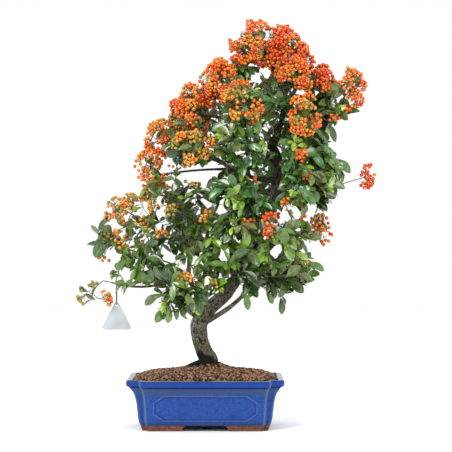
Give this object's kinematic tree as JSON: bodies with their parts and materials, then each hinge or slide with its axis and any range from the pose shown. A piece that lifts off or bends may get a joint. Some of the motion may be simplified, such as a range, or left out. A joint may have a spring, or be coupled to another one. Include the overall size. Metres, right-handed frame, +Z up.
{
  "type": "firethorn bonsai in a pot",
  "caption": "Firethorn shrub grown as a leaning bonsai, with clusters of orange berries and small leaves, planted in a blue glazed rectangular pot on low feet.",
  "frame": {"origin": "on the ground under the pot's feet, below the middle of the plant's bounding box", "axes": "+Z up, from the pot's feet to the top of the crown; the plant's front faces -Y, and +X is to its right as seen from the front"},
  "size_m": [0.5163, 0.2671, 0.7315],
  "materials": {
    "blue_glaze": "gloss",
    "baked_clay_soil": "matte",
    "bark": "matte",
    "leaves": "satin",
    "berries": "satin",
    "tag_card": "satin",
    "tag_thread": "matte"
  },
  "bodies": {
    "root": {"bough_back_high": "bark", "bough_back_left": "bark", "bough_crown": "bark", "bough_heart": "bark", "bough_left_drop": "bark", "bough_left_low": "bark", "bough_left_mid": "bark", "bough_left_rise": "bark", "bough_left_tip": "bark", "bough_left_tip_low": "bark", "bough_low_front": "bark", "bough_outer_left": "bark", "bough_right_arc": "bark", "bough_right_fruit": "bark", "bough_right_high": "bark", "bough_right_low": "bark", "bough_right_mid": "bark", "bough_right_shoulder": "bark", "bough_shoulder": "bark", "bough_shoulder_low": "bark", "foliage_arc_inner": "berries", "foliage_arc_outer": "berries", "foliage_back_high": "leaves", "foliage_back_left": "leaves", "foliage_back_low_left": "leaves", "foliage_back_low_right": "leaves", "foliage_back_mid": "leaves", "foliage_back_right": "leaves", "foliage_centre_left": "leaves", "foliage_crown_right": "berries", "foliage_crown_tip": "berries", "foliage_heart_fruit": "berries", "foliage_heart_leaf": "leaves", "foliage_left_drop": "berries", "foliage_left_leaf": "leaves", "foliage_left_low": "leaves", "foliage_left_mid": "leaves", "foliage_left_tip": "berries", "foliage_left_tip_low": "berries", "foliage_low_left_crown": "leaves", "foliage_mid_low": "leaves", "foliage_mid_low_front": "leaves", "foliage_mid_low_right": "leaves", "foliage_outer_left_fruit": "berries", "foliage_right_fruit": "berries", "foliage_right_hanging": "leaves", "foliage_right_low": "leaves", "foliage_right_low_fruit": "berries", "foliage_right_mid_high": "leaves", "foliage_right_mid_low": "leaves", "foliage_right_shoulder": "leaves", "foliage_right_tip": "berries", "foliage_right_under": "leaves", "foliage_shoulder_high": "berries", "foliage_shoulder_low": "berries", "pot": "blue_glaze", "soil": "baked_clay_soil", "tag": "tag_card", "tag_loop": "tag_thread", "trunk": "bark"}
  },
  "joints": []
}
